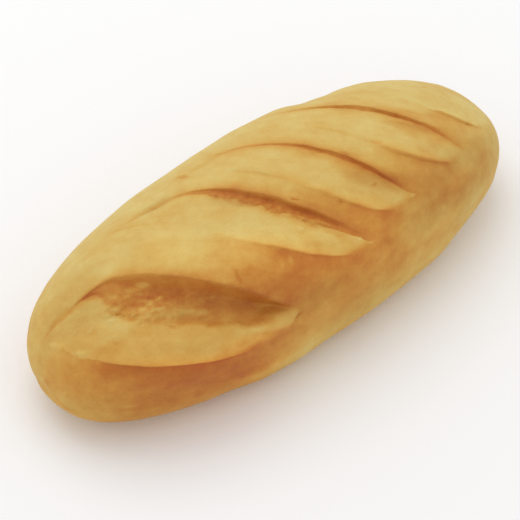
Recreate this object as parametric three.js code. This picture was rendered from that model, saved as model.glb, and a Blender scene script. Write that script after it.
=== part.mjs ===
// A plump wheat loaf with five slanting slashes, lying on its flat base.
// Millimetres, +Z up, +X along the loaf. The origin is the middle of the base.
import * as THREE from "three";
import { mergeVertices } from "three/addons/utils/BufferGeometryUtils.js";

const { clamp, lerp, smoothstep } = THREE.MathUtils;

// Driving dimensions.
const LENGTH = 260;
const WIDTH = 107;
const HEIGHT = 78; // of the crown before it was slashed
const BELT_HEIGHT = 27; // the widest line round the loaf
const BASE_SINK = 6; // depth of round underside that the baking tray pressed flat
const WIDTH_TAPER = -0.035; // the end at +X is a little narrower and lower
const HEIGHT_TAPER = -0.05;

// How the plan, the side profile and the underside close towards the two noses.
const PLAN = { power: 2.3, fullness: 2.4 };
const PROFILE = { power: 2.5, fullness: 1.75 };
const UNDERSIDE = { power: 3.5, fullness: 2.2 };

// Roundness of the cross-section, 2 being an ellipse.
const CROWN_ROUNDNESS = 2.15;
const BELLY_ROUNDNESS = 2.6;

// The slashes are laid out on the crust peeled flat: a tip is [place along X, girth from the crown].
const PEEL_RADIUS = 55; // girth for each radian round the section
const HALF_GIRTH = Math.PI * PEEL_RADIUS;

// A slash opens between a far and a near tip. Its lip bows towards +X from the straight line between
// them and its rim towards -X. The hollow takes a share of the opening, from the lip, and sinks by depth.
// Risen dough fills the rest and stands above the skin at the rim, whose foot lies in a shallow crease.
// Sunk and raised say where along the slash that is so, and closing where dough closes the hollow.
const USUAL = { lipRise: 0.7, rimRise: 1.5, crease: 0.6, closing: [0.97, 1] };
const SLASHES = [
  {
    ...USUAL,
    farTip: [-124, 22],
    nearTip: [-33, -77],
    lip: steepBow({ reach: 16.4, start: 0.105, full: 0.25, near: 0, end: 0.105 }),
    rim: softBow({ reach: 47.5, far: 1.26, near: 0.48 }),
    hollow: steepBow({ reach: 0.605, start: 0, full: 0.42, near: 0.32, end: 0.11 }),
    depth: 6,
    sunk: stretch({ start: 0.06, full: 0.55, fade: 0.72, end: 1 }),
    raised: stretch({ start: 0.02, full: 0.35, fade: 0.95, end: 1 }),
    closing: [0.845, 0.91],
    rimRise: 1.8,
    crease: 0.8,
  },
  {
    ...USUAL,
    farTip: [-69, 20],
    nearTip: [23, -58.5],
    lip: softBow({ reach: 25.3, far: 0.21, near: 1.18 }),
    rim: softBow({ reach: 17.6, far: 0.92, near: 0.27 }),
    hollow: softBow({ reach: 0.27, far: 0.75, near: 0.6 }),
    depth: 2,
    sunk: stretch({ start: 0.02, full: 0.22, fade: 0.5, end: 0.97 }),
    raised: stretch({ start: 0.35, full: 0.8, fade: 0.84, end: 1 }),
  },
  {
    ...USUAL,
    farTip: [-32, 33.5],
    nearTip: [55, -50],
    lip: softBow({ reach: 21, far: 0.48, near: 1.22 }),
    rim: softBow({ reach: 19, far: 1.85, near: 0.27 }),
    hollow: softBow({ reach: 0.1, far: 0.4, near: 0.86 }),
    depth: 1.3,
    sunk: stretch({ start: 0.02, full: 0.3, fade: 0.55, end: 0.97 }),
    raised: stretch({ start: 0.35, full: 0.78, fade: 0.84, end: 1 }),
  },
  {
    ...USUAL,
    farTip: [13.5, 45.5],
    nearTip: [91.5, -46],
    lip: softBow({ reach: 15, far: 0.9, near: 0.86 }),
    rim: softBow({ reach: 15.3, far: 0.88, near: 0.27 }),
    hollow: softBow({ reach: 0.08, far: 0.59, near: 0.73 }),
    depth: 1.1,
    sunk: stretch({ start: 0.02, full: 0.3, fade: 0.5, end: 0.95 }),
    raised: stretch({ start: 0.58, full: 0.7, fade: 0.84, end: 1 }),
  },
  {
    // The last slash closed again on the nose, and only its rim stands up.
    ...USUAL,
    farTip: [61, 47],
    nearTip: [111.5, -36.5],
    lip: softBow({ reach: 30, far: 0.5, near: 0.5 }),
    rim: softBow({ reach: 2.7, far: 0.96, near: 0.57 }),
    hollow: softBow({ reach: 0.12, far: 0.6, near: 0.6 }),
    depth: 0,
    sunk: stretch({ start: 0.02, full: 0.22, fade: 0.84, end: 1 }),
    raised: stretch({ start: 0.64, full: 0.72, fade: 0.9, end: 1 }),
    lipRise: 0,
    rimRise: 1,
    crease: 0.5,
  },
];
const LEAST_BOW = 1.5; // keeps lip and rim apart at the tips
const LEAST_HOLLOW = 2.6;
const MOST_HOLLOW = 0.9; // of the opening
const BLUNT_TIP = 0.97; // the share of the way at which a slash is as narrow as it gets
const TIP_CLOSING = 30; // girth beyond a tip over which lip and rim come together
const WALL_SHARE = 0.3; // of the hollow's breadth, for the wall under the lip
const LEDGE_SHARE = 0.3; // of the depth, where the dough breaks down into the hollow
const CAP_SHARE = 0.8; // of the rim's rise, where dough has closed the hollow
const RIM_DROP = 2.4; // run of the steep step from the rim down to the skin
const CREASE_REACH = 13;
const LIP_REACH = 13;

// Broad swells and dents where the dough rose unevenly, each by the place and girth of its middle.
const SWELLS = [
  { place: -52, girth: 56, length: 88, breadth: 60, lift: -1.4 },
  { place: 22, girth: 52, length: 40, breadth: 50, lift: 1 },
  { place: 57, girth: 48, length: 28, breadth: 50, lift: -1.4 },
  { place: -122, girth: -125, length: 26, breadth: 50, lift: 1.5 },
  { place: -78, girth: -115, length: 48, breadth: 40, lift: -0.9 },
  { place: -32, girth: -111, length: 44, breadth: 40, lift: 0.9 },
  { place: 88, girth: -104, length: 34, breadth: 40, lift: -1.5 },
];
const NOSE_CLEARANCE = 3; // the swells die away this close to the very noses

// Facets: columns go round the section, and rows follow the slashes from nose to nose.
const COLUMNS = 62;
const CROWN_CROWDING = 0.35; // columns stand closer together over the crown
const NOSE_ROWS = 12;
const SLASH_ROWS = { strip: 5, step: 1, dough: 5, hollow: 2, wall: 2 };
const NORMAL_STEP = 0.01; // station and turn step for the surface normal

// Golden-brown baked crust with a dull sheen.
const CRUST_COLOUR = 0xc99a50;
const CRUST_ROUGHNESS = 0.6;

// The bands of rows from the nose at -X to the nose at +X. Each slash has a strip of skin before it.
const BANDS = SLASHES.flatMap((_, slash) =>
  Object.entries(SLASH_ROWS).map(([kind, rows]) => ({ kind, rows, slash })),
);
BANDS[0] = { kind: "nearNose", rows: NOSE_ROWS, slash: 0 };
BANDS.push({ kind: "farNose", rows: NOSE_ROWS, slash: SLASHES.length });
const ROWS = BANDS.reduce((sum, band) => sum + band.rows, 0);

// How full the loaf still is at a station from -1 to 1.
function envelope(station, { power, fullness }) {
  return Math.max(0, 1 - Math.abs(station) ** power) ** (1 / fullness);
}

// A sine or cosine bent from an ellipse to a rounder or squarer section.
function squared(value, roundness) {
  return Math.sign(value) * Math.abs(value) ** (2 / roundness);
}

// A point of the loaf before it was slashed. The turn is the angle round the section from the crown.
function skinPoint(station, turn) {
  const half = (WIDTH / 2) * envelope(station, PLAN) * (1 + WIDTH_TAPER * station);
  const above = (HEIGHT - BELT_HEIGHT) * envelope(station, PROFILE) * (1 + HEIGHT_TAPER * station);
  const below = (BELT_HEIGHT + BASE_SINK) * envelope(station, UNDERSIDE);
  const upper = Math.cos(turn) >= 0;
  const roundness = upper ? CROWN_ROUNDNESS : BELLY_ROUNDNESS;
  const y = half * squared(Math.sin(turn), roundness);
  const z = BELT_HEIGHT + (upper ? above : below) * squared(Math.cos(turn), roundness);
  return new THREE.Vector3((station * LENGTH) / 2, y, z);
}

// The outward normal of the unslashed loaf.
function skinNormal(station, turn) {
  const behind = skinPoint(Math.max(-1, station - NORMAL_STEP), turn);
  const ahead = skinPoint(Math.min(1, station + NORMAL_STEP), turn);
  const round = skinPoint(station, turn + NORMAL_STEP).sub(skinPoint(station, turn - NORMAL_STEP));
  return ahead.sub(behind).cross(round).normalize();
}

// Makes an edge that bows out softly, as a function of the share of the way from the far to the near tip.
// Far and near say how softly it leaves each tip.
function softBow({ reach, far, near }) {
  const peak = far / (far + near);
  const top = peak ** far * (1 - peak) ** near;
  return (share) => (reach * share ** far * (1 - share) ** near) / top;
}

// Makes an edge that leaves the far tip as a straight line, swells all at once and closes at the end.
function steepBow({ reach, start, full, near, end }) {
  return (share) => {
    const sinking = ((1 - share) / (1 - full)) ** near;
    return reach * smoothstep(share, start, full) * sinking * smoothstep(1 - share, 0, end);
  };
}

// Makes something that comes up from start to full and dies away from fade to end, all shares of the way.
function stretch({ start, full, fade, end }) {
  return (share) => smoothstep(share, start, full) * (1 - smoothstep(share, fade, end));
}

// The edges of one slash at a girth, as places along X, and the heights of the crust on them.
// Beyond its tips the slash is only a line that runs round to the middle of the underside.
function slashEdges(slash, girth) {
  const [farX, farGirth] = slash.farTip;
  const [nearX, nearGirth] = slash.nearTip;
  const share = clamp((farGirth - girth) / (farGirth - nearGirth), 0, 1);
  const beyond = Math.max(girth - farGirth, nearGirth - girth, 0);
  const rest = HALF_GIRTH - Math.abs(share > 0 ? nearGirth : farGirth);
  const line = lerp(lerp(farX, nearX, share), (farX + nearX) / 2, smoothstep(beyond / rest, 0, 1));
  const apart = 1 - smoothstep(beyond, 0, TIP_CLOSING);
  const lip = line + Math.max(LEAST_BOW, apart * slash.lip(Math.min(share, BLUNT_TIP)));
  const rim = line - Math.max(LEAST_BOW, apart * slash.rim(Math.min(share, BLUNT_TIP)));
  const foot = rim - RIM_DROP * (1 - ((2 * rim) / LENGTH) ** 4);
  const opening = lip - rim;
  const least = Math.min(LEAST_HOLLOW, opening / 2);
  const ledge = lip - clamp(slash.hollow(share) * opening, least, MOST_HOLLOW * opening);

  const cap = smoothstep(share, ...slash.closing);
  const sunk = slash.sunk(share) * (1 - cap);
  const rimHeight = slash.rimRise * slash.raised(share);
  return {
    places: [foot, rim, ledge, lerp(lip, ledge, WALL_SHARE), lip],
    foot: -slash.crease * slash.raised(share),
    rim: rimHeight,
    ledge: CAP_SHARE * cap * rimHeight - LEDGE_SHARE * slash.depth * sunk,
    valley: CAP_SHARE * cap * rimHeight - slash.depth * sunk,
    lip: slash.lipRise * sunk,
  };
}

// How far the swells lift the crust at a place along X and a girth.
function swollen(place, girth) {
  const clear = smoothstep(LENGTH / 2 - Math.abs(place), 0, NOSE_CLEARANCE);
  return SWELLS.reduce((sum, swell) => {
    const along = (place - swell.place) / (swell.length / 2);
    const aside = (girth - swell.girth) / (swell.breadth / 2);
    return sum + clear * swell.lift * Math.exp(-((along ** 2 + aside ** 2) ** 2));
  }, 0);
}

// How far the crust stands off the unslashed loaf at a part of the way across a band.
// The slash behind is the one towards -X, and the slash here is the one whose foot ends the band.
function relief(kind, part, span, behind, here) {
  const quarter = (part * Math.PI) / 2;
  if (kind === "step") return lerp(here.foot, here.rim, part);
  if (kind === "dough") return lerp(here.ledge, here.rim, Math.cos(quarter));
  if (kind === "hollow") return lerp(here.ledge, here.valley, Math.sin(quarter));
  if (kind === "wall") return lerp(here.lip, here.valley, Math.cos(quarter));
  const fromLip = behind ? behind.lip * (1 - part) ** 2 * Math.exp((-part * span) / LIP_REACH) : 0;
  const toFoot = here ? here.foot * part ** 2 * Math.exp(((part - 1) * span) / CREASE_REACH) : 0;
  return fromLip + toFoot;
}

// The part of the way across a band at one of its rows. Rows crowd together towards the noses.
function partOfBand({ kind, rows }, row) {
  const quarter = ((row / rows) * Math.PI) / 2;
  if (kind === "nearNose") return 1 - Math.cos(quarter);
  if (kind === "farNose") return Math.sin(quarter);
  return row / rows;
}

// One line of the baked crust along the loaf at a turn, from nose to nose, with the base pressed flat.
function crustLine(turn) {
  const girth = turn * PEEL_RADIUS;
  const edges = SLASHES.map((slash) => slashEdges(slash, girth));
  const places = [-LENGTH / 2, ...edges.flatMap((edge) => edge.places), LENGTH / 2];
  const line = [skinPoint(-1, turn)];
  BANDS.forEach((band, index) => {
    const span = places[index + 1] - places[index];
    for (let row = 1; row <= band.rows; row++) {
      const part = partOfBand(band, row);
      const place = places[index] + part * span;
      const station = (2 * place) / LENGTH;
      const opened = relief(band.kind, part, span, edges[band.slash - 1], edges[band.slash]);
      const height = opened + swollen(place, girth);
      const point = skinPoint(station, turn).addScaledVector(skinNormal(station, turn), height);
      point.z = Math.max(0, point.z);
      line.push(point);
    }
  });
  return line;
}

// The whole loaf, formed from a globe whose poles become the two noses.
function loafGeometry() {
  const globe = new THREE.SphereGeometry(1, COLUMNS, ROWS);
  const { position } = globe.attributes;
  for (let column = 0; column <= COLUMNS; column++) {
    const angle = 2 * Math.PI * (column / COLUMNS - 0.5);
    const line = crustLine(angle - CROWN_CROWDING * Math.sin(angle));
    line.forEach((point, row) => position.setXYZ(row * (COLUMNS + 1) + column, point.x, point.y, point.z));
  }
  globe.deleteAttribute("normal");
  globe.deleteAttribute("uv");
  const loaf = mergeVertices(globe);
  loaf.computeBoundingBox();
  const middle = loaf.boundingBox.getCenter(new THREE.Vector3());
  loaf.translate(-middle.x, -middle.y, 0);
  loaf.computeVertexNormals();
  return loaf;
}

const crust = new THREE.MeshStandardMaterial({
  color: CRUST_COLOUR,
  roughness: CRUST_ROUGHNESS,
  metalness: 0,
});
const loaf = new THREE.Mesh(loafGeometry(), crust);
loaf.name = "loaf";

const bread = new THREE.Group();
bread.add(loaf);

export default bread;
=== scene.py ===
"""Looks of a plump wheat loaf with five slanting slashes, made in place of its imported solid."""

import logging
import math
from dataclasses import dataclass, field
from enum import Enum

import bpy
import numpy as np
from mathutils import Matrix, Vector
from numpy.typing import NDArray

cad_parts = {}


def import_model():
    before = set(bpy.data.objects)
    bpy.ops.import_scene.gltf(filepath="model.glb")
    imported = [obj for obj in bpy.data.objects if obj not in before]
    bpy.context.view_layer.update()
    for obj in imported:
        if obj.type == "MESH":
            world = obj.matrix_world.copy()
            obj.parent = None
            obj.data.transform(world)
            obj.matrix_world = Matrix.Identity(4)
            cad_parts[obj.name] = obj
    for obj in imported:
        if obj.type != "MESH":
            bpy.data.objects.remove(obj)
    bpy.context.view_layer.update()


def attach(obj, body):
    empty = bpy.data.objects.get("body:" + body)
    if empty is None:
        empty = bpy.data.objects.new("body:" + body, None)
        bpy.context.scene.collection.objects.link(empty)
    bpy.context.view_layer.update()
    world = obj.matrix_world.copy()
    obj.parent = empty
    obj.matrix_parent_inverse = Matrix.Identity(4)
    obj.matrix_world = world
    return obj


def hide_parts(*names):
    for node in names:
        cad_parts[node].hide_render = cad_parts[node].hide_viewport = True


Array = NDArray[np.float64]

MM = 0.001  # sizes are in millimetres, and Blender's scene is in metres
LOG = logging.getLogger("wheat_loaf")


def linear(hex_colour: str) -> tuple[float, float, float, float]:
    """Turns an sRGB hex colour to linear light.

    Args:
        hex_colour: Six hex digits after a hash sign.

    Returns:
        Linear red, green and blue, and an alpha of one.
    """
    shares = [int(hex_colour[start : start + 2], 16) / 255 for start in (1, 3, 5)]
    red, green, blue = (
        share / 12.92 if share <= 0.04045 else ((share + 0.055) / 1.055) ** 2.4 for share in shares
    )
    return red, green, blue, 1.0


def mix(start: Array, end: Array, part: Array) -> Array:
    """Goes from start to end by a part from 0 to 1."""
    return start + (end - start) * part


def ease(value: Array, low: float, high: float) -> Array:
    """Rises smoothly from 0 at low to 1 at high."""
    part = np.clip((value - low) / (high - low), 0, 1)
    return part * part * (3 - 2 * part)


def add_node(
    tree: bpy.types.NodeTree, kind: str, inputs: dict[str | int, object], **settings: str
) -> bpy.types.Node:
    """Adds one shader node.

    Args:
        tree: The material's node tree.
        kind: The node's Blender type name.
        inputs: A value or an output socket for each input, by its name or number.
        **settings: The node's own properties.

    Returns:
        The new node.
    """
    node = tree.nodes.new(kind)
    for name, value in settings.items():
        setattr(node, name, value)
    for name, value in inputs.items():
        if isinstance(value, bpy.types.NodeSocket):
            tree.links.new(value, node.inputs[name])
        else:
            node.inputs[name].default_value = value
    return node


def add_math(tree: bpy.types.NodeTree, operation: str, *values: object) -> bpy.types.NodeSocket:
    """Adds one arithmetic node and gives its output."""
    return add_node(tree, "ShaderNodeMath", dict(enumerate(values)), operation=operation).outputs[0]


@dataclass(frozen=True)
class Envelope:
    """How a width or a height closes towards the two noses.

    Attributes:
        power: How late it starts to close.
        fullness: How bluntly it ends.
    """

    power: float
    fullness: float

    def at(self, station: Array) -> Array:
        """Gives the share left at a station from -1 to 1 along the loaf."""
        return np.maximum(0, 1 - np.abs(station) ** self.power) ** (1 / self.fullness)


@dataclass(frozen=True)
class LoafForm:
    """The risen loaf before it was slashed, in millimetres.

    Attributes:
        length: From nose to nose along X.
        width: At the belt.
        height: Of the crown.
        belt_height: Height of the widest line round the loaf.
        base_sink: Depth of round underside that the baking tray pressed flat.
        base_edge: How softly the side turns into the flat base.
        width_taper: Share by which the end at +X is wider, or narrower below zero.
        height_taper: The same of the height.
        plan: How the width closes.
        profile: How the crown closes.
        underside: How the belly closes.
        crown_roundness: Of the section above the belt, 2 being an ellipse.
        belly_roundness: Of the section below the belt.
        peel_radius: Girth for each radian round the section when the crust is peeled flat.
        normal_step: Distance to the neighbours that give a normal.
    """

    length: float = 260
    width: float = 107
    height: float = 78
    belt_height: float = 27
    base_sink: float = 6
    base_edge: float = 2.5
    width_taper: float = -0.035
    height_taper: float = -0.05
    plan: Envelope = Envelope(power=2.3, fullness=2.4)
    profile: Envelope = Envelope(power=2.5, fullness=1.75)
    underside: Envelope = Envelope(power=3.5, fullness=2.2)
    crown_roundness: float = 2.15
    belly_roundness: float = 2.6
    peel_radius: float = 55
    normal_step: float = 0.6

    def point(self, place: Array, turn: Array) -> Array:
        """Finds points of the smooth loaf.

        Args:
            place: Place along X.
            turn: Angle round the section from the crown, positive towards +Y.

        Returns:
            The points, with x, y and z last.
        """
        station = np.clip(2 * place / self.length, -1, 1)
        half = self.width / 2 * self.plan.at(station) * (1 + self.width_taper * station)
        crown = self.height - self.belt_height
        above = crown * self.profile.at(station) * (1 + self.height_taper * station)
        below = (self.belt_height + self.base_sink) * self.underside.at(station)
        upper = np.cos(turn) >= 0
        power = np.where(upper, 2 / self.crown_roundness, 2 / self.belly_roundness)
        across = np.sign(np.sin(turn)) * np.abs(np.sin(turn)) ** power
        rise = np.sign(np.cos(turn)) * np.abs(np.cos(turn)) ** power
        height = self.belt_height + np.where(upper, above, below) * rise
        return np.stack([station * self.length / 2 + 0 * turn, half * across, height], axis=-1)

    def normal(self, place: Array, turn: Array) -> Array:
        """Finds the outward normals of the smooth loaf.

        Args:
            place: Place along X.
            turn: Angle round the section from the crown.

        Returns:
            The unit normals, with x, y and z last.
        """
        swing = self.normal_step / self.peel_radius
        along = self.point(place + self.normal_step, turn) - self.point(place - self.normal_step, turn)
        around = self.point(place, turn + swing) - self.point(place, turn - swing)
        normals = np.cross(along, around)
        return normals / np.maximum(np.linalg.norm(normals, axis=-1, keepdims=True), 1e-9)

    def pressed(self, points: Array) -> Array:
        """Presses the underside flat on the baking tray, with a soft edge.

        Args:
            points: Points of the loaf, with x, y and z last.

        Returns:
            The points, none below the tray.
        """
        height = points[..., 2]
        soft = np.clip(height + self.base_edge, 0, None) ** 2 / (4 * self.base_edge)
        flat = points.copy()
        flat[..., 2] = np.where(height < self.base_edge, soft, height)
        return flat


@dataclass(frozen=True)
class Bow:
    """How an edge swells away from the straight line between the two tips of a slash.

    Attributes:
        reach: The most that it swells.
        far: How softly it leaves the far tip.
        near: How softly it comes back to the near tip.
    """

    reach: float
    far: float
    near: float

    def at(self, share: Array) -> Array:
        """Says how far the edge swells.

        Args:
            share: The share of the way from the far to the near tip.

        Returns:
            The swell at each share.
        """
        peak = self.far / (self.far + self.near)
        top = peak**self.far * (1 - peak) ** self.near
        return self.reach * share**self.far * (1 - share) ** self.near / top


@dataclass(frozen=True)
class SteepBow(Bow):
    """A bow that leaves the far tip as a straight line and then swells all at once.

    Attributes:
        far: The share of the way at which it has swollen.
        near: How steadily it sinks again from there.
        start: The share of the way at which it starts to swell.
        end: The share of the way, up to the near tip, over which it closes.
    """

    start: float = 0.1
    end: float = 0.11

    def at(self, share: Array) -> Array:
        """Gives the swell at a share of the way from the far to the near tip."""
        sinking = ((1 - share) / (1 - self.far)) ** self.near
        return self.reach * ease(share, self.start, self.far) * sinking * ease(1 - share, 0, self.end)


@dataclass(frozen=True)
class Span:
    """Where along a slash something shows, as shares of the way from the far to the near tip.

    Attributes:
        start: Where it starts.
        full: Where it has come up.
        fade: Where it starts to die away.
        end: Where it has gone.
    """

    start: float
    full: float
    fade: float = 0.84
    end: float = 1

    def at(self, share: Array) -> Array:
        """Gives how far it has come up, from 0 to 1, at a share of the way."""
        return ease(share, self.start, self.full) * (1 - ease(share, self.fade, self.end))


def ragged(girth: Array, rng: np.random.Generator, size: float, reach: float) -> Array:
    """Makes the wobble of a torn edge.

    Args:
        girth: Girth from the crown of each column.
        rng: Seeded source of the phases.
        size: Length of the longest wave.
        reach: The most that the longest wave swings.

    Returns:
        The swing at each column.
    """
    octaves, finer, weaker = 3, 2.1, 1.6
    swing = np.zeros_like(girth)
    for octave, phase in enumerate(rng.uniform(0, 2 * math.pi, octaves)):
        wave = size / finer**octave
        swing += reach / weaker**octave * np.sin(2 * math.pi * girth / wave + phase)
    return swing


@dataclass(frozen=True)
class Line:
    """One line along a slash, each value an array over the columns of facets.

    Attributes:
        place: Place along X.
        height: Height off the smooth loaf.
        wobble: How far the torn edge strays along X.
        glow: How far the crust along it is browned.
        glow_reach: How far that browning spreads.
    """

    place: Array
    height: Array
    wobble: Array
    glow: Array | float = 0
    glow_reach: Array | float = 1


def glowing(bake: Array, parts: Array, start: Line, end: Line) -> Array:
    """Browns a band of crust towards its two edges.

    Args:
        bake: How baked the band is without its edges.
        parts: The part of the way across the band at each row.
        start: The line where the band starts.
        end: The line where it ends.

    Returns:
        How baked the band is, row by row.
    """
    span = end.place - start.place
    bake = bake + (1 - bake) * start.glow * (1 - parts) * np.exp(-parts * span / start.glow_reach)
    return bake + (1 - bake) * end.glow * parts * np.exp((parts - 1) * span / end.glow_reach)


@dataclass(frozen=True)
class SlashLines:
    """The lines that shape one slash, from the skin before it to the skin after it.

    Attributes:
        foot: Where the skin meets the step up to the rim.
        rim: The edge of the risen dough.
        ledge: Where the dough breaks down into the hollow.
        floor: The foot of that break.
        valley: The foot of the wall under the lip.
        lip: The torn edge of the skin.
        rise: How far the rim has risen, from 0 to 1.
        flaky: How torn and flaky the hollow is, from 0 to 1.
        tint: How far the hollow has browned, from 0 to 1.
        cap: How far the hollow has closed at the near end, from 0 to 1.
        opened: How far the skin has parted, from 0 to 1.
    """

    foot: Line
    rim: Line
    ledge: Line
    floor: Line
    valley: Line
    lip: Line
    rise: Array
    flaky: Array
    tint: Array
    cap: Array
    opened: Array


@dataclass(frozen=True)
class Slash:
    """One slash that opened in the oven, laid out on the peeled crust.

    Attributes:
        far_tip: Place along X and girth from the crown of the tip beyond the crown.
        near_tip: The same of the tip on the near side.
        lip: How the torn skin's edge bows towards +X.
        rim: How the risen dough's edge bows towards -X.
        hollow: The share of the opening, from the lip, that stayed sunk.
        depth: Of the hollow.
        sink: Where the hollow is sunk.
        brown: Where the hollow is browned.
        rise: Where the rim stands up.
        cap: The shares of the way between which risen dough closes the near end.
        lip_rise: Height of the skin's curl along the lip.
        wall: The share of the hollow's breadth that the wall under the lip takes.
        scarp: The share of it that the dough's broken edge takes.
        rim_rise: Height of the rim above the skin.
        crease: Depth of the skin's dip at the rim's foot.
        dough_bake: How baked the risen dough is.
        hollow_bake: How baked the hollow is under the lip.
        floor_bake: How baked the hollow is where it meets the dough.
        crease_bake: How far the skin in the crease is browned, and how far that spreads.
        rim_bake: The same of the dough along its rim.
        ledge_bake: The same of the dough along the hollow.
        lip_bake: The same of the skin along the lip.
        flaky_until: Share of the way up to which the hollow is torn and flaky.
        fineness: How closely its rows of facets stand.
    """

    far_tip: tuple[float, float]
    near_tip: tuple[float, float]
    lip: Bow
    rim: Bow
    hollow: Bow
    depth: float
    sink: Span
    brown: Span
    rise: Span
    cap: tuple[float, float] = (0.97, 1)
    lip_rise: float = 0.7
    wall: float = 0.4
    scarp: float = 0.3
    rim_rise: float = 0.8
    crease: float = 0.05
    dough_bake: float = 0.12
    hollow_bake: float = 0.84
    floor_bake: float = 0.72
    crease_bake: tuple[float, float] = (0.26, 7)
    rim_bake: tuple[float, float] = (0.32, 2.2)
    ledge_bake: tuple[float, float] = (0.4, 3.5)
    lip_bake: tuple[float, float] = (0.5, 3.5)
    flaky_until: float = 0.5
    fineness: float = 1

    def lines(self, girth: Array, form: LoafForm, rng: np.random.Generator) -> SlashLines:
        """Works out the slash's lines.

        Args:
            girth: Girth from the crown of each column.
            form: The loaf that was slashed.
            rng: Seeded source of the torn edges' wobble.

        Returns:
            The lines and how far the slash has opened along them.
        """
        least_bow, least_hollow, most_hollow, broad = 1.5, 2.6, 0.9, 8
        step_run, closing, crease_end = 2, 30, (-8, 6)
        first, last, parting, meeting = 0.02, 0.97, 0.3, 0.07
        ledge_drop, floor_drop, cap_height, calming, calm_run = 0.3, 0.75, 0.8, 0.8, 0.08
        (far_x, far_girth), (near_x, near_girth) = self.far_tip, self.near_tip
        share = np.clip((far_girth - girth) / (far_girth - near_girth), 0, 1)
        beyond = np.maximum(np.maximum(girth - far_girth, near_girth - girth), 0)
        rest = math.pi * form.peel_radius - np.abs(np.where(share > 0, near_girth, far_girth))
        chord = mix(mix(far_x, near_x, share), (far_x + near_x) / 2, ease(beyond / rest, 0, 1))
        apart = 1 - ease(beyond, 0, closing)
        blunt = np.clip(share, first, last)
        lip = chord + np.maximum(least_bow, apart * self.lip.at(blunt))
        rim = chord - np.maximum(least_bow, apart * self.rim.at(blunt))
        opening = lip - rim
        least = np.minimum(least_hollow, opening / 2)
        ledge = lip - np.clip(self.hollow.at(share) * opening, least, most_hollow * opening)
        foot = rim - step_run * (1 - (2 * rim / form.length) ** 4)

        cap = ease(share, *self.cap)
        sink = self.sink.at(share) * (1 - cap)
        sunk = self.depth * sink
        flaky = sink * (1 - calming * ease(share - self.flaky_until, -calm_run, calm_run))
        tint = self.brown.at(share) * (1 - cap)
        rise = self.rise.at(share)
        end = cap_height * self.rim_rise * cap * rise
        inside = np.sqrt(np.clip(4 * share * (1 - share), 0, 1))
        lip_wobble = inside * ragged(girth, rng, size=30, reach=0.3)
        rim_wobble = inside * ragged(girth, rng, size=34, reach=0.35)
        breadth = np.minimum(1, (lip - ledge) / broad)
        ledge_wobble = sink * breadth * ragged(girth, rng, size=10, reach=0.7)
        still = np.zeros_like(girth)
        creased = ease(share, self.rise.start, self.rise.full) * (1 - ease(near_girth - girth, *crease_end))
        crease_bake = self.crease_bake[0] * creased
        opened = ease(share, 0, parting) * ease(1 - share, 0, meeting)
        rim_bake = mix(crease_bake, self.rim_bake[0] * np.sqrt(rise), opened)
        rim_spread = mix(self.crease_bake[1], self.rim_bake[1], opened)
        ledge_bake, lip_bake = self.ledge_bake[0] * tint, self.lip_bake[0] * tint
        return SlashLines(
            foot=Line(foot, -self.crease * rise, rim_wobble, crease_bake, self.crease_bake[1]),
            rim=Line(rim, self.rim_rise * rise, rim_wobble, rim_bake, rim_spread),
            ledge=Line(ledge, end - ledge_drop * sunk, ledge_wobble, ledge_bake, self.ledge_bake[1]),
            floor=Line(mix(ledge, lip, self.scarp), end - floor_drop * sunk, ledge_wobble),
            valley=Line(mix(lip, ledge, self.wall), end - sunk, still),
            lip=Line(lip, self.lip_rise * sink, lip_wobble, lip_bake, self.lip_bake[1]),
            rise=rise, flaky=flaky, tint=tint, cap=cap, opened=opened,
        )


@dataclass(frozen=True)
class Scar:
    """A mark in one place of the crust: a flake, pit or crease, a patch of colour or of painted light and
    shade, or a broad swell.

    Attributes:
        place: Place along X of its middle.
        girth: Girth from the crown of its middle.
        length: Along its heading.
        breadth: Across its heading.
        heading: Degrees from +X towards the far side.
        lift: Height off the crust round it, below zero for a pit.
        bake: How much more baked it is, below zero for paler.
        light: The share by which it is lighter, below zero for darker, as painted light and shade.
    """

    place: float
    girth: float
    length: float
    breadth: float
    heading: float = 0
    lift: float = 0
    bake: float = 0
    light: float = 0

    def spread(self, place: Array, girth: Array) -> Array:
        """Says where the mark lies.

        Args:
            place: Place along X.
            girth: Girth from the crown.

        Returns:
            How much of the mark is there, from 0 to 1.
        """
        heading, half = math.radians(self.heading), math.pi * LoafForm.peel_radius
        east, north = place - self.place, (girth - self.girth + half) % (2 * half) - half
        along = (east * math.cos(heading) + north * math.sin(heading)) / (self.length / 2)
        aside = (north * math.cos(heading) - east * math.sin(heading)) / (self.breadth / 2)
        return np.exp(-((along**2 + aside**2) ** 2))


@dataclass
class Patch:
    """A band of rows of the crust, each array being rows by columns.

    Attributes:
        place: Place along X.
        height: Height off the smooth loaf.
        bake: How baked the crust is, from 0, pale, to 1, red-brown.
        torn: How torn and flaky it is, from 0 to 1.
        light: How light it is for its baking, 1 being as usual, which paints highlights, light and shade
            into the colour.
    """

    place: Array
    height: Array
    bake: Array
    torn: Array
    light: Array


class Band(Enum):
    """The kinds of bands that rows of facets follow from nose to nose, each with its usual rows."""

    NOSE = ("nose", 38)
    STRIP = ("strip", 20)
    STEP = ("step", 6)
    DOUGH = ("dough", 16)
    LEDGE = ("ledge", 5)
    FLOOR = ("floor", 5)
    WALL = ("wall", 6)

    def parts(self, fineness: float = 1) -> Array:
        """Gives the part of the way across the band at each row, as a column.

        Args:
            fineness: How closely the rows stand.

        Returns:
            Parts from just above 0 up to 1.
        """
        _, usual = self.value
        rows = round(usual * fineness)
        return (np.arange(1, rows + 1) / rows)[:, None]


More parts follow.
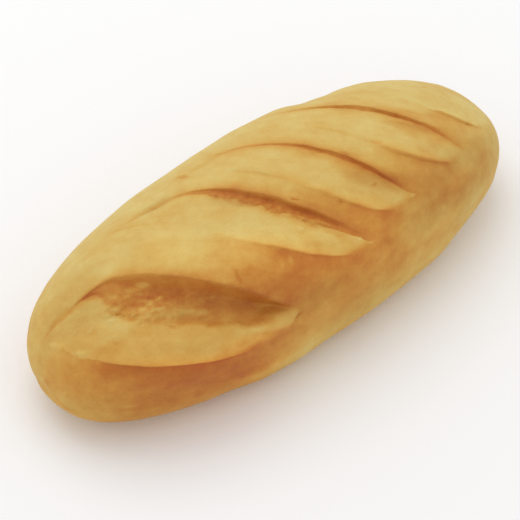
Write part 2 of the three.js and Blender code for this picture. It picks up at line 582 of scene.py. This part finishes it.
@dataclass(frozen=True)
class Lumps:
    """Unevenness of the baked crust.

    Attributes:
        name: What makes it.
        size: Distance from lump to lump.
        height: From hollow to lump.
        where: The vertex group that it is kept to.
    """

    name: str
    size: float
    height: float
    where: str

    def raise_on(self, piece: bpy.types.Object) -> None:
        """Raises the lumps on a piece.

        Args:
            piece: The active object.
        """
        clouds = bpy.data.textures.new(self.name, "CLOUDS")
        clouds.noise_scale = self.size * MM
        swell = piece.modifiers.new(self.name, "DISPLACE")
        swell.texture = clouds
        swell.strength = self.height * MM
        swell.vertex_group = self.where
        bpy.ops.object.modifier_apply(modifier=self.name)


@dataclass(frozen=True)
class BakedCrust:
    """Wheat crust: dry starch skin browned in the oven, dull and dusty, its colour telling its baking.

    Attributes:
        stops: Colours from pale dough to the red-brown of a deep slash, evenly spaced.
        pale_roughness: Of the floury pale skin.
        brown_roughness: Of the browned skin, which is a little tighter.
        blotch: Size of the oven's broad patches.
        streak: Breadth of the streaks along the slashes, where the dough was stretched.
        mottle: Size of the fine patches.
        grain: Size of the dusty grain, drawn coarser than it is so that it shows.
        flake: Size of the torn crumb's shreds.
        flake_swing: How far the baking of those shreds strays.
        relief: Height of the grain off the skin.
        sheen: Strength of the dull gloss.
    """

    stops: tuple[str, ...] = ("#d7bd72", "#d4af5e", "#d09f4c", "#c88b3a", "#bc732b", "#af5c20")
    pale_roughness: float = 0.72
    brown_roughness: float = 0.52
    blotch: float = 16
    streak: float = 5
    mottle: float = 4.5
    grain: float = 1.1
    flake: float = 2.4
    flake_swing: float = 0.7
    relief: float = 0.22
    sheen: float = 0.25

    def material(self) -> bpy.types.Material:
        """Builds the crust's material.

        Returns:
            The material, which reads the bake, torn and light attributes and Object coordinates; the light
            attribute carries painted highlights, light and shade.
        """
        crust = bpy.data.materials.new("baked_wheat_crust")
        crust.use_nodes = True
        tree = crust.node_tree
        shader = tree.nodes["Principled BSDF"]
        place = add_node(tree, "ShaderNodeTexCoord", {}).outputs["Object"]
        level, torn, light = (
            add_node(tree, "ShaderNodeAttribute", {}, attribute_name=name).outputs["Fac"]
            for name in ("bake", "torn", "light")
        )

        # Patches of several sizes stray from the even baking, and are duller where they are browner.
        # Streaks lie along the slashes and are four times as long as they are broad.
        slant = {"Vector": place, "Rotation": (0, 0, math.radians(-40)), "Scale": (4, 1, 1)}
        stretched = add_node(tree, "ShaderNodeMapping", slant, vector_type="TEXTURE").outputs["Vector"]
        noises = {}
        for size, swing, dulling, vector in (
            (self.blotch, 0.4, 0.04, place),
            (self.streak, 0.24, 0.05, stretched),
            (self.mottle, 0.17, 0.06, place),
            (self.grain, 0.12, 0.04, place),
        ):
            noises[size] = add_node(
                tree, "ShaderNodeTexNoise", {"Vector": vector, "Scale": 1 / (size * MM), "Detail": 2.0}
            ).outputs["Fac"]
            centred = add_math(tree, "SUBTRACT", noises[size], 0.5)
            level = add_math(tree, "MULTIPLY_ADD", centred, swing, level)
            light = add_math(tree, "MULTIPLY_ADD", centred, -dulling, light)

        # Torn crumb is ragged, with pale shreds over brown.
        shreds = add_node(
            tree, "ShaderNodeTexNoise", {"Vector": place, "Scale": 1 / (self.flake * MM), "Detail": 3.0}
        ).outputs["Fac"]
        ripped = add_math(tree, "SUBTRACT", 0.5, shreds)
        pale = add_math(tree, "MULTIPLY", ripped, torn)
        level = add_math(tree, "MULTIPLY_ADD", pale, self.flake_swing, level)

        ramp = add_node(tree, "ShaderNodeValToRGB", {"Fac": level})
        elements = ramp.color_ramp.elements
        while len(elements) < len(self.stops):
            elements.new(0.5)
        for number, (element, colour) in enumerate(zip(elements, self.stops)):
            element.position = number / (len(self.stops) - 1)
            element.color = linear(colour)
        # The colour is scaled by the light attribute's painted highlights, light and shade, and by the
        # patches' dulling.
        shaded = add_node(
            tree, "ShaderNodeVectorMath", {0: ramp.outputs["Color"], "Scale": light}, operation="SCALE"
        )
        tightening = {"Value": level, "To Min": self.pale_roughness, "To Max": self.brown_roughness}
        rough = add_node(tree, "ShaderNodeMapRange", tightening)

        # Grain stands a fraction of a millimetre off the skin, and mottles twice that.
        relief = add_math(tree, "MULTIPLY_ADD", noises[self.mottle], 2.0, noises[self.grain])
        bump = add_node(
            tree, "ShaderNodeBump", {"Height": relief, "Distance": self.relief * MM, "Strength": 1.0}
        )
        tree.links.new(shaded.outputs["Vector"], shader.inputs["Base Color"])
        tree.links.new(rough.outputs["Result"], shader.inputs["Roughness"])
        tree.links.new(bump.outputs["Normal"], shader.inputs["Normal"])
        shader.inputs["Specular IOR Level"].default_value = self.sheen
        return crust


def slash_list() -> tuple[Slash, ...]:
    """Lists the slashes from -X to +X, as they opened.

    Returns:
        The first, which tore wide open, three even ones, and the last on the far nose.
    """
    return (
        Slash(
            far_tip=(-124, 22), near_tip=(-33, -77), depth=7, wall=0.26, scarp=0.14, fineness=2,
            lip=SteepBow(16.8, 0.225, 0, start=0.09, end=0.105), rim=Bow(45.4, 1.32, 0.55),
            hollow=SteepBow(0.605, 0.42, 0.32, start=0), cap=(0.83, 0.9), flaky_until=0.62,
            sink=Span(0.13, 0.42, fade=0.8), brown=Span(0.11, 0.19, fade=0.95),
            rise=Span(0.48, 0.82, fade=0.95), rim_rise=1.1, crease=0,
            dough_bake=0.25, hollow_bake=0.8, floor_bake=0.62, crease_bake=(0.75, 16),
            rim_bake=(0.36, 5), ledge_bake=(0.1, 2), lip_bake=(0.55, 7),
        ),
        Slash(
            far_tip=(-69, 20), near_tip=(23, -58.5), depth=2, wall=0.22, scarp=0.2,
            lip=Bow(25.3, 0.21, 1.08), rim=Bow(17.6, 0.92, 0.27), hollow=Bow(0.275, 0.72, 0.6),
            sink=Span(0.02, 0.4, fade=0.5, end=0.97), brown=Span(0, 0.22, fade=0.6, end=0.98),
            rise=Span(0.35, 0.8), flaky_until=0.9,
            hollow_bake=0.9, floor_bake=0.76, crease_bake=(0.24, 7), lip_bake=(0.62, 6.5),
        ),
        Slash(
            far_tip=(-32, 33.5), near_tip=(55, -50), depth=0.9,
            lip=Bow(21, 0.48, 1.22), rim=Bow(19, 1.85, 0.27), hollow=Bow(0.1, 0.4, 0.86),
            sink=Span(0.15, 0.55, fade=0.6), brown=Span(-0.06, 0.42, fade=0.6, end=1.05),
            rise=Span(0.35, 0.78), lip_rise=0.5,
            dough_bake=0.13, hollow_bake=0.82, floor_bake=0.66, ledge_bake=(0.5, 5), lip_bake=(0.62, 5),
        ),
        Slash(
            far_tip=(13.5, 45.5), near_tip=(91.5, -46), depth=1.1,
            lip=Bow(15.8, 0.88, 0.86), rim=Bow(15.3, 0.88, 0.27), hollow=Bow(0.08, 0.59, 0.73),
            sink=Span(0.1, 0.4, fade=0.5, end=0.92), brown=Span(0, 0.4, fade=0.52, end=0.96),
            rise=Span(0.58, 0.74, fade=0.9), lip_rise=0.5, rim_rise=1, crease=0.2,
            dough_bake=0.16, hollow_bake=0.76, floor_bake=0.64, crease_bake=(0.34, 7), lip_bake=(0.55, 5),
        ),
        # The last one closed again, and only its rim stands up.
        Slash(
            far_tip=(61, 47), near_tip=(111.5, -36.5), depth=0,
            lip=Bow(30, 0.5, 0.5), rim=Bow(2.7, 0.96, 0.57), hollow=Bow(0.12, 0.6, 0.6),
            sink=Span(1, 2), brown=Span(1, 2), rise=Span(0.64, 0.72, fade=0.9),
            rim_rise=0.9, crease=0.35, dough_bake=0.04, crease_bake=(0.34, 13), rim_bake=(0.05, 2),
        ),
    )


def torn_edge(
    start: tuple[float, float], end: tuple[float, float], count: int, rng: np.random.Generator
) -> tuple[Scar, ...]:
    """Lists the cracks along an edge where dough tore.

    Args:
        start: Place along X and girth from the crown of one end.
        end: The same of the other end.
        count: How many cracks there are.
        rng: Seeded source of their sizes and headings.

    Returns:
        The cracks in order.
    """
    heading = math.degrees(math.atan2(end[1] - start[1], end[0] - start[0]))
    return tuple(
        Scar(
            place=mix(start[0], end[0], part) + rng.normal(0, 0.6),
            girth=mix(start[1], end[1], part) + rng.normal(0, 0.6),
            length=rng.uniform(3, 7), breadth=rng.uniform(1.4, 2.4), heading=heading + rng.normal(0, 18),
            lift=rng.uniform(-0.6, -0.2), bake=rng.uniform(-0.04, 0.14),
        )
        for part in np.linspace(0, 1, count)
    )


def scar_list() -> tuple[Scar, ...]:
    """Lists the marks that single places of this loaf have.

    Returns:
        Shreds and cracks, flakes and pits, patches of colour, and broad swells and dents.
    """
    rng = np.random.default_rng(seed=11)
    shreds = (
        Scar(
            place=-79 + 20 * along + 5.5 * across,
            girth=-26 - 18 * along + 6 * across,
            length=rng.uniform(3, 9), breadth=rng.uniform(1.2, 2.6), heading=-42 + rng.normal(0, 14),
            lift=rng.uniform(-0.5, 0.8), bake=rng.uniform(-0.26, 0.12),
        )
        for along, across in rng.uniform(-1, 1, (46, 2))
    )
    return (
        # Shreds and cracks where the first two slashes tore
        *shreds,
        *torn_edge((-99, -16), (-80, -44), 13, rng),
        *torn_edge((-31, 3), (9, -49), 18, rng),
        # Flakes, pits, cracks and creases
        Scar(-81.8, -10.6, 7, 2.6, -50, lift=0.9, bake=-0.3),
        Scar(-79.7, -21.8, 2.4, 1.8, -40, lift=0.8, bake=-0.4),
        Scar(-83.5, -29.5, 27, 8.5, -42, lift=0.9, bake=-0.28),
        Scar(-46.2, -36, 9, 2.2, 85, lift=-0.6, bake=0.2),
        Scar(-53, -33.5, 11, 6, -45, lift=0.4, bake=-0.12),
        Scar(-43, -67, 25, 4.4, -20, lift=1, bake=-0.12),
        Scar(-37.5, -63.5, 15, 4.5, -12, lift=-0.4),
        Scar(-27, -70.7, 3.2, 2.2, lift=-0.6, bake=0.25),
        Scar(-108.3, -86, 12, 1.5, -12, lift=0.25, bake=-0.15),
        Scar(-1.3, -31.7, 22, 2.2, -46, lift=1.2, bake=-0.12),
        Scar(-2.9, -18.6, 4, 1.4, -40, lift=-0.5, bake=0.3),
        Scar(-8.6, -32.4, 3, 1.4, -30, lift=0.4, bake=-0.25),
        Scar(15.7, -31.3, 3, 1.6, 60, lift=-0.4, bake=0.15),
        Scar(51, -48.5, 3.4, 1.6, lift=0.3, bake=-0.3),
        Scar(50.4, -13.9, 6, 2.2, -40, lift=-0.5, bake=0.16),
        Scar(104.8, -27.7, 4.4, 3, lift=-0.5, bake=0.16),
        Scar(35.5, -32.8, 2.8, 2, lift=-0.5, bake=0.25),
        Scar(33.3, -11.5, 5, 1.8, -50, lift=-0.5, bake=0.15),
        Scar(102.4, 15.7, 4, 2.2, -60, lift=-0.5, bake=0.3),
        Scar(-30.9, 26.6, 8, 3, -70, lift=-0.4, bake=0.28),
        Scar(-24.6, -42, 5, 1.2, 60, lift=0.35, bake=-0.2),
        Scar(-20.2, -42.4, 5, 1.2, 60, lift=0.35, bake=-0.2),
        Scar(-14, 10.1, 5, 1.3, -45, lift=0.4, bake=-0.12),
        Scar(-4.3, 0.3, 6, 1.3, -48, lift=0.4, bake=-0.12),
        Scar(15.1, -51.8, 3, 1.6, -30, lift=0.4, bake=-0.2),
        Scar(20.2, -57.1, 3, 1.6, -30, lift=0.4, bake=-0.2),
        Scar(-17.5, 25.4, 26, 3.6, lift=-0.6, bake=0.08),
        Scar(-54, 19.2, 28, 4, -19, lift=-0.7, bake=0.24),
        Scar(-53.5, 18.8, 5, 2.6, -30, lift=-0.3, bake=0.12),
        Scar(-59, 9, 18, 1.8, -48, lift=-0.3, bake=0.11),
        Scar(-71, 23, 22, 1.8, -52, lift=-0.3, bake=0.11),
        Scar(-6.4, 0.4, 27, 1.8, -48, lift=-0.3, bake=0.09),
        Scar(37.4, 2.5, 22, 1.8, -54, lift=-0.3, bake=0.09),
        Scar(46, -38, 30, 10, -50, lift=-1.1, bake=0.05),
        Scar(85, -30, 26, 10, -50, lift=-0.8, bake=0.1),
        Scar(-113, 11.5, 24, 5, -43, lift=-0.75, bake=0.2),
        Scar(-101, 3.4, 11, 3.8, -50, lift=-0.5, bake=0.34),
        # These two flakes are paler, and their light value adds a painted highlight.
        Scar(-121.8, 2, 16, 2, -82, lift=0.5, bake=-0.1, light=0.05),
        Scar(-117.3, -21, 8, 2.2, -75, lift=0.5, bake=-0.1, light=0.05),
        Scar(-110, -12.2, 2.6, 2, lift=0.4, bake=-0.2),
        Scar(-114.4, -5.1, 2.4, 1.8, lift=0.4, bake=-0.15),
        Scar(-106, -29.5, 9, 2.2, -70, lift=-0.3, bake=0.08),
        # Patches that the oven browned more or less
        Scar(-39.5, -39, 14, 8, -45, bake=0.1),
        Scar(37, -29, 36, 12, -47, bake=0.2),
        Scar(76, -20, 34, 12, -50, bake=0.16),
        Scar(0, -41, 16, 9, -45, bake=-0.14),
        Scar(52, -64, 34, 26, bake=-0.14),
        Scar(90, -50, 26, 16, bake=-0.15),
        Scar(108, -36, 20, 24, bake=-0.06),
        Scar(85, -80, 36, 14, bake=-0.15),
        Scar(-101, -22, 18, 18, bake=-0.14),
        Scar(-52, -71, 46, 10, -5, bake=0.18),
        Scar(-74, -77, 60, 14, -22, bake=0.14),
        Scar(-38, -58, 16, 10, bake=-0.14),
        Scar(-35, -99, 40, 14, bake=-0.14),
        Scar(-33, -27, 36, 6, -45, bake=0.12),
        Scar(4.5, -23.5, 24, 8, -53, bake=0.12),
        Scar(71, -36, 20, 7, -50, bake=0.12),
        Scar(-95, 10, 8, 6, -40, bake=0.1),
        Scar(23, -48, 24, 16, -40, bake=-0.08),
        Scar(-124, -82, 22, 50, bake=-0.1),
        Scar(60, 10, 20, 9, -50, bake=-0.14),
        Scar(5, 10, 14, 8, -45, bake=-0.12),
        Scar(-5, 20, 12, 7, -50, bake=0.12),
        Scar(92, -23, 24, 12, -45, bake=0.1),
        Scar(95, 1, 16, 8, -50, bake=0.12),
        Scar(94, 20, 14, 8, -50, bake=0.1),
        Scar(100, -62, 24, 30, bake=0.1),
        Scar(72, -60, 26, 10, bake=0.1),
        # The light values among these patches paint light and shade; their bake values are browning.
        Scar(71, -13, 26, 6, -42, bake=0.12, light=-0.05),
        Scar(81, -56, 20, 10, bake=-0.06, light=0.08),
        Scar(64, -75, 26, 10, bake=-0.1, light=0.08),
        Scar(78, -7, 28, 7, -42, bake=0.12),
        Scar(-105.5, -4.6, 24, 16, -50, bake=-0.04, light=-0.05),
        # Patches of painted light and shade, lighter or darker for their baking
        Scar(-15, -41, 112, 27, -30, light=0.12),
        Scar(27, -46, 32, 20, -35, light=0.09),
        Scar(-86, -60, 36, 9, -33, light=0.13),
        Scar(-55, -70, 46, 10, -6, light=0.15),
        Scar(-62, -4, 26, 18, -40, light=0.06),
        Scar(-45, -92, 36, 16, light=0.07),
        Scar(85, -60, 84, 48, light=-0.11),
        Scar(-62, -43, 62, 16, -30, light=-0.1),
        Scar(37, -31, 32, 10, -47, light=-0.1),
        Scar(-26, -4, 24, 6, -45, light=-0.1),
        Scar(-17, -67, 38, 15, light=-0.08),
        Scar(-108, 15, 42, 36, -40, light=-0.06),
        Scar(-112, -92, 52, 46, light=-0.07),
        Scar(10, -89, 48, 20, light=-0.08),
        Scar(-52, 19, 18, 8, -10, light=-0.08),
        # Broad swells and dents
        Scar(-88, -61, 70, 30, -30, lift=2),
        Scar(-52, 56, 88, 60, lift=-1.4),
        Scar(22, 52, 40, 50, lift=1),
        Scar(57, 48, 28, 50, lift=-1.4),
        Scar(-127, -148, 32, 104, lift=1.8),
        Scar(-78, -115, 48, 40, lift=-0.9),
        Scar(-32, -111, 44, 40, lift=0.9),
        Scar(88, -104, 34, 40, lift=-1.5),
    )


@dataclass
class Loaf:
    """The slashed loaf as it came out of the oven.

    Attributes:
        form: The loaf before it was slashed.
        slashes: The slashes from -X to +X.
        scars: The marks of single places.
        lumps: The unevenness all over.
        columns: Columns of facets round the section.
        crowding: How much closer the columns stand over the crown.
        curl_reach: How far the skin's curl along a lip and its dip before a rim reach.
        nose_clearance: How close to the very noses the marks die away.
        sole_bake: How baked the underside is.
        seed: Of the torn edges' wobble.
        crust: The finish.
        piece: The finished object.
    """

    form: LoafForm = LoafForm()
    slashes: tuple[Slash, ...] = field(default_factory=slash_list)
    scars: tuple[Scar, ...] = field(default_factory=scar_list)
    lumps: tuple[Lumps, ...] = (
        Lumps("proved_lumps", 38, 1.3, "above_tray"),
        Lumps("skin_dimples", 7, 0.3, "above_tray"),
        Lumps("torn_crumb", 3, 1.3, "torn_crumb"),
    )
    columns: int = 250
    crowding: float = 0.4
    curl_reach: float = 13
    nose_clearance: float = 2
    sole_bake: float = 0.34
    seed: int = 7
    crust: BakedCrust = BakedCrust()
    piece: bpy.types.Object | None = field(default=None, init=False)

    def skin_bake(self, place: Array, girth: Array) -> Array:
        """Says how baked the whole skin is.

        Args:
            place: Place along X.
            girth: Girth from the crown.

        Returns:
            The baking, from 0, pale, to 1, red-brown.
        """
        far_nose = 0.16 * ease(place, 30, 50) + 0.38 * ease(place, 72, 126)
        near_nose = 0.2 * ease(-place, 100, 126)
        browned = ease(28 * ease(-place, 105, 125) - girth, 10, 52)
        tray_pale = 0.3 * ease(-girth, 55, 72) + 0.5 * ease(-girth, 76, 96)
        nose_pale = 0.25 * ease(-girth, 80, 105)
        low = 1 - mix(tray_pale, nose_pale, ease(-place, 20, 60))
        near_side = (0.62 - far_nose - near_nose) * browned * low
        far_side = (0.4 * ease(girth, 52, 92) - 0.2 * ease(girth, 92, 125)) * ease(place, -128, -112)
        crown = 0.13 - 0.1 * ease(girth, 15, 45) + 0.16 * ease(-place, 90, 118) * ease(girth, -25, 10)
        return mix(crown + near_side + far_side, self.sole_bake, ease(np.abs(girth), 118, 165))

    def skin_patch(self, parts: Array, girth: Array, start: Line, end: Line) -> Patch:
        """Lays a band of whole skin between two slashes, or from a slash to a nose.

        Args:
            parts: The part of the way across the band at each row.
            girth: Girth from the crown of each column.
            start: The line where the band starts.
            end: The line where the band ends.

        Returns:
            The band.
        """
        span = end.place - start.place
        place = mix(start.place, end.place, parts)
        height = start.height * (1 - parts) ** 2 * np.exp(-parts * span / self.curl_reach)
        height += end.height * parts**2 * np.exp((parts - 1) * span / self.curl_reach)
        bake = glowing(self.skin_bake(place, girth), parts, start, end)
        place = place + start.wobble * (1 - parts) ** 4 + end.wobble * parts**4
        return Patch(place, height, bake, np.zeros_like(place), np.ones_like(place))

    def dough_bake(self, slash: Slash, lines: SlashLines, place: Array, girth: Array) -> Array:
        """Says how baked the dough that rose through a slash is.

        Args:
            slash: The slash.
            lines: Its lines.
            place: Place along X of each column.
            girth: Girth from the crown of each column.

        Returns:
            The baking, which is the whole skin's where the slash is closed.
        """
        toasted, crown_bake = 0.2, 0.13
        skin = self.skin_bake(place, girth)
        return mix(skin, slash.dough_bake + toasted * (skin - crown_bake), lines.opened)

    def slash_patches(self, slash: Slash, lines: SlashLines, girth: Array) -> list[Patch]:
        """Lays the bands of one slash: step, dough, ledge, floor and wall.

        Args:
            slash: The slash.
            lines: Its lines.
            girth: Girth from the crown of each column.

        Returns:
            The bands in order.
        """
        roll, roll_reach = 1.2, 4
        # A painted highlight lightens the crust along each risen rim, on the top of the step and the
        # dough's edge.
        painted_rim_highlight, painted_highlight_reach = 0.07 * np.sqrt(lines.rise), 6
        skin = self.skin_bake(lines.lip.place, girth)
        skin = skin + (1 - skin) * lines.lip.glow
        before = self.skin_bake(lines.rim.place, girth)
        crease = before + (1 - before) * lines.foot.glow
        outer = self.dough_bake(slash, lines, lines.rim.place, girth)
        inner = self.dough_bake(slash, lines, lines.ledge.place, girth)
        rim = outer + (1 - outer) * lines.rim.glow
        edge = inner + (1 - inner) * lines.ledge.glow
        closed = mix(skin, inner, lines.cap)
        shallow = mix(closed, slash.floor_bake, lines.tint)
        deep = mix(closed, slash.hollow_bake, lines.tint)
        stretches = (
            (Band.STEP, lines.foot, lines.rim, crease, rim, 0, 0),
            (Band.DOUGH, lines.rim, lines.ledge, outer, inner, 0, 0),
            (Band.LEDGE, lines.ledge, lines.floor, edge, shallow, 0, 1),
            (Band.FLOOR, lines.floor, lines.valley, shallow, deep, 1, 0.5),
            (Band.WALL, lines.valley, lines.lip, deep, skin, 0.5, 0),
        )
        patches = []
        for band, start, end, start_bake, end_bake, start_torn, end_torn in stretches:
            parts = band.parts(1 if band is Band.STEP else slash.fineness)
            quarter = parts * math.pi / 2
            climb = {Band.DOUGH: 1 - np.cos(quarter), Band.WALL: 1 - np.cos(quarter), Band.FLOOR: parts}
            tint = {Band.STEP: parts**3, Band.WALL: parts**2, Band.FLOOR: parts}
            bake = mix(start_bake, end_bake, tint.get(band, ease(parts, 0, 1)))
            fade = 3 if band is Band.DOUGH else 0
            wobble = mix(start.wobble * (1 - parts) ** fade, end.wobble * parts**fade, parts)
            height = mix(start.height, end.height, climb.get(band, ease(parts, -0.15, 1.15)))
            # Painted highlight on the step, strongest at the rim.
            light = 1 + painted_rim_highlight * (parts**3 if band is Band.STEP else 0 * parts)
            if band is Band.DOUGH:
                bake = glowing(bake, parts, start, end)
                span = end.place - start.place
                height += roll * lines.rise * (np.exp(-parts * span / roll_reach) - 1) * (1 - parts)
                # Painted highlight along the dough's edge by the rim, dying away inwards.
                light = 1 + painted_rim_highlight * np.exp(-parts * span / painted_highlight_reach) * (1 - parts)
            place = mix(start.place, end.place, parts) + wobble
            torn = lines.flaky * mix(start_torn, end_torn, parts)
            patches.append(Patch(place, height, bake, torn, light))
        return patches

    def patches(self, turn: Array) -> list[Patch]:
        """Lays all the bands from nose to nose.

        Args:
            turn: Angle round the section of each column.

        Returns:
            The bands in order.
        """
        rng = np.random.default_rng(self.seed)
        girth = turn * self.form.peel_radius
        still = np.zeros_like(girth)
        nose = np.full_like(girth, self.form.length / 2)
        behind = Line(-nose, still, still)
        parts = 1 - np.cos(Band.NOSE.parts() * math.pi / 2)
        first_bake = self.skin_bake(-nose, girth)[None]
        bands = [Patch(-nose[None], still[None], first_bake, still[None], still[None] + 1)]
        for slash in self.slashes:
            lines = slash.lines(girth, self.form, rng)
            bands.append(self.skin_patch(parts, girth, behind, lines.foot))
            bands.extend(self.slash_patches(slash, lines, girth))
            behind = lines.lip
            parts = Band.STRIP.parts()
        parts = np.sin(Band.NOSE.parts() * math.pi / 2)
        bands.append(self.skin_patch(parts, girth, behind, Line(nose, still, still)))
        return bands

    def crust_sheet(self) -> tuple[Array, dict[str, Array]]:
        """Works out the whole crust, row by row.

        Returns:
            The points in millimetres, and how baked, torn and light each is.
        """
        angle = 2 * math.pi * (np.arange(self.columns) / self.columns - 0.5)
        turn = angle - self.crowding * np.sin(angle)
        bands = self.patches(turn)
        place, height, bake, torn, light = (
            np.concatenate([getattr(band, name) for band in bands])
            for name in ("place", "height", "bake", "torn", "light")
        )
        turn = np.broadcast_to(turn, place.shape)
        girth = turn * self.form.peel_radius
        clear = ease(self.form.length / 2 - np.abs(place), 0, self.nose_clearance)
        for scar in self.scars:
            spread = clear * scar.spread(place, girth)
            height = height + scar.lift * spread
            bake = bake + scar.bake * spread
            # Marks with a light value add painted light and shade.
            light = light + scar.light * spread
        points = self.form.point(place, turn) + self.form.normal(place, turn) * height[..., None]
        points = self.form.pressed(points)
        flat = points.reshape(-1, 3)
        middle = (flat.min(axis=0) + flat.max(axis=0)) / 2
        return points - middle * (1, 1, 0), {"bake": bake, "torn": torn, "light": light}

    def build(self) -> bpy.types.Object:
        """Forms the loaf from a globe whose poles become the two noses.

        Returns:
            The finished piece.
        """
        points, looks = self.crust_sheet()
        rows = len(points) - 1
        bpy.ops.mesh.primitive_uv_sphere_add(
            segments=self.columns, ring_count=rows, calc_uvs=False, rotation=(0, math.pi / 2, 0)
        )
        piece = bpy.context.active_object
        piece.name = "baked_loaf"
        bpy.ops.object.transform_apply()
        mesh = piece.data
        globe = np.empty(len(mesh.vertices) * 3)
        mesh.vertices.foreach_get("co", globe)
        along, side, top = globe.reshape(-1, 3).T
        row = np.rint(np.arccos(np.clip(-along, -1, 1)) / math.pi * rows).astype(int)
        around = np.arctan2(side, top) / (2 * math.pi) + 0.5
        # The globe's columns stand half-way between whole numbers, so all are rounded down.
        column = np.floor(around * self.columns).astype(int) % self.columns
        placed = points[row, column]
        mesh.vertices.foreach_set("co", (placed * MM).ravel())
        for name, values in looks.items():
            mesh.attributes.new(name, "FLOAT", "POINT").data.foreach_set("value", values[row, column])
        mesh.update()
        tray_foot, tray_clear, least_weight = 1, 9, 0.01
        groups = {
            "above_tray": ease(placed[:, 2], tray_foot, tray_clear),
            "torn_crumb": looks["torn"][row, column],
        }
        for name, weights in groups.items():
            group = piece.vertex_groups.new(name=name)
            for vertex in np.flatnonzero(weights > least_weight):
                group.add([int(vertex)], float(weights[vertex]), "REPLACE")
        for lumps in self.lumps:
            lumps.raise_on(piece)
        bpy.ops.object.shade_smooth()
        self.piece = piece
        return piece

    def dress(self) -> None:
        """Gives the loaf its crust and its place in the frame."""
        self.piece.data.materials.clear()
        self.piece.data.materials.append(self.crust.material())
        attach(self.piece, "root")
        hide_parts("loaf")


@dataclass
class Studio:
    """A plain pale floor under soft light.

    Attributes:
        floor_size: Side of the floor, in metres.
        floor_colour: Of matt white paper.
        floor_roughness: Of the paper.
        key_direction: Towards the window.
        key_distance: To the window, in metres.
        key_size: Across the window, in metres.
        key_power: In watts.
        sky: Brightness of the white room.
    """

    floor_size: float = 8
    floor_colour: str = "#fafafa"
    floor_roughness: float = 0.9
    key_direction: tuple[float, float, float] = (0.05, 0.4, 0.91)
    key_distance: float = 1.6
    key_size: float = 1.5
    key_power: float = 6.5
    sky: float = 0.82

    def build(self) -> None:
        """Lays the floor and hangs the lights."""
        bpy.ops.mesh.primitive_plane_add(size=self.floor_size)
        floor = bpy.context.active_object
        floor.name = "pale_floor"
        paper = bpy.data.materials.new("matt_white_paper")
        paper.use_nodes = True
        shader = paper.node_tree.nodes["Principled BSDF"]
        shader.inputs["Base Color"].default_value = linear(self.floor_colour)
        shader.inputs["Roughness"].default_value = self.floor_roughness
        floor.data.materials.append(paper)

        lamp = bpy.data.lights.new("window_light", "AREA")
        lamp.shape = "DISK"
        lamp.size = self.key_size
        lamp.energy = self.key_power
        key = bpy.data.objects.new("window_light", lamp)
        bpy.context.collection.objects.link(key)
        direction = Vector(self.key_direction).normalized()
        key.location = direction * self.key_distance
        key.rotation_euler = direction.to_track_quat("Z", "Y").to_euler()

        world = bpy.data.worlds.new("white_room")
        world.use_nodes = True
        background = world.node_tree.nodes["Background"]
        background.inputs["Color"].default_value = (1, 1, 1, 1)
        background.inputs["Strength"].default_value = self.sky
        bpy.context.scene.world = world
        bpy.context.scene.view_settings.view_transform = "Standard"


@dataclass
class Viewpoint:
    """The camera, which looks down on the loaf's near side.

    Attributes:
        eye: Where it stands, in millimetres.
        aim: What falls in the middle of the picture.
        lens: Focal length, on a sensor 36 wide.
    """

    eye: tuple[float, float, float] = (-554.2, -670.5, 1001.1)
    aim: tuple[float, float, float] = (-10, -3.98, 26.51)
    lens: float = 195.3

    def build(self) -> None:
        """Sets the camera up."""
        data = bpy.data.cameras.new("loaf_camera")
        data.lens = self.lens
        camera = bpy.data.objects.new("loaf_camera", data)
        bpy.context.collection.objects.link(camera)
        eye, aim = Vector(self.eye) * MM, Vector(self.aim) * MM
        turn = (eye - aim).to_track_quat("Z", "Y")
        camera.matrix_world = Matrix.Translation(eye) @ turn.to_matrix().to_4x4()
        bpy.context.scene.camera = camera


def main() -> None:
    """Builds the loaf, the studio and the camera."""
    logging.basicConfig(level=logging.INFO, format="%(name)s: %(message)s")
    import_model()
    loaf = Loaf()
    piece = loaf.build()
    loaf.dress()
    triangles = sum(len(face.vertices) - 2 for face in piece.data.polygons)
    LOG.info("%s: %d triangles", piece.name, triangles)
    Studio().build()
    Viewpoint().build()


if __name__ == "__main__":
    main()
